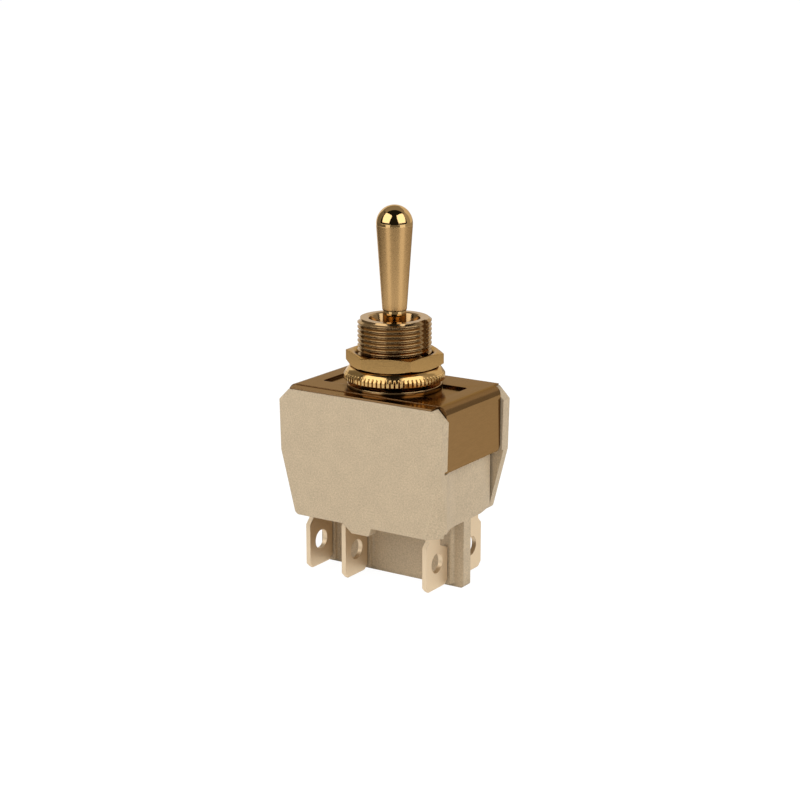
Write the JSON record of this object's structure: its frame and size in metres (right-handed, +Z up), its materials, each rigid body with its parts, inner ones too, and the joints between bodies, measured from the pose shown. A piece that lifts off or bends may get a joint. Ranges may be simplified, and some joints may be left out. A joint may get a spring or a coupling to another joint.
{
  "type": "panel toggle switch",
  "caption": "Double-pole centre-off toggle switch with a threaded bushing, two panel nuts, a folded metal frame round a moulded case, and tab terminals either side of a partition rib.",
  "frame": {"origin": "on the bushing's axis, at the level of the partition rib's lower edge", "axes": "+Z up along the bushing towards the lever's tip, +X along the case, the way the lever swings, +Y across it to the rear row of terminals"},
  "size_m": [0.031, 0.0208, 0.0612],
  "materials": {
    "case_plastic": "matt, finely speckled beige moulding",
    "frame_brass": "satin, finely textured",
    "bushing_brass": "turned, with a fine thread",
    "nut_brass": "turned and satin",
    "lever_brass": "satin grip with a polished neck and tip",
    "terminal_brass": "tinned brass, stamped",
    "rocker_brass": "stamped",
    "contact_silver": "silver alloy rivet",
    "spring_steel": "drawn wire",
    "pin_steel": "ground",
    "yoke_plastic": "moulded phenolic",
    "liner_board": "fibre board"
  },
  "bodies": {
    "base": {"case": "case_plastic", "frame": "frame_brass", "insulating_liner": "liner_board", "bushing": "bushing_brass", "knurled_nut": "nut_brass", "hex_nut": "nut_brass", "lever_pin": "pin_steel", "terminal_front_left": "terminal_brass", "terminal_front_centre": "terminal_brass", "terminal_front_right": "terminal_brass", "terminal_rear_left": "terminal_brass", "terminal_rear_centre": "terminal_brass", "terminal_rear_right": "terminal_brass", "fixed_contact_front_left": "contact_silver", "fixed_contact_front_right": "contact_silver", "fixed_contact_rear_left": "contact_silver", "fixed_contact_rear_right": "contact_silver"},
    "lever": {"lever": "lever_brass", "yoke": "yoke_plastic", "plunger_spring_front": "spring_steel", "plunger_spring_rear": "spring_steel"},
    "plunger_front_body": {"plunger_front": "yoke_plastic"},
    "rocker_front_body": {"rocker_front": "rocker_brass", "moving_contact_front_left": "contact_silver", "moving_contact_front_right": "contact_silver"},
    "plunger_rear_body": {"plunger_rear": "yoke_plastic"},
    "rocker_rear_body": {"rocker_rear": "rocker_brass", "moving_contact_rear_left": "contact_silver", "moving_contact_rear_right": "contact_silver"}
  },
  "joints": [
    {"name": "lever_tilt", "type": "hinge", "parent": "base", "child": "lever", "pos_m": [0, 0, 0.0354], "axis": [0, 1, 0], "range_deg": [-12, 12]},
    {"name": "rocker_front_tilt", "type": "hinge", "parent": "base", "child": "rocker_front_body", "pos_m": [0, -0.0052, 0.017], "axis": [0, 1, 0], "range_deg": [-8, 8]},
    {"name": "plunger_front_slide", "type": "slide", "parent": "lever", "child": "plunger_front_body", "axis": [0, 0, 1], "range_m": [0, 0.0008], "stiffness_N_per_m": 1000, "springref_m": -0.0005, "deforming": ["plunger_spring_front"]},
    {"name": "rocker_rear_tilt", "type": "hinge", "parent": "base", "child": "rocker_rear_body", "pos_m": [0, 0.0052, 0.017], "axis": [0, 1, 0], "range_deg": [-8, 8]},
    {"name": "plunger_rear_slide", "type": "slide", "parent": "lever", "child": "plunger_rear_body", "axis": [0, 0, 1], "range_m": [0, 0.0008], "stiffness_N_per_m": 1000, "springref_m": -0.0005, "deforming": ["plunger_spring_rear"]}
  ],
  "couplings": [
    {"joint": "rocker_front_tilt", "follows": "lever_tilt", "ratio": -0.6666},
    {"joint": "rocker_rear_tilt", "follows": "lever_tilt", "ratio": -0.6666}
  ]
}
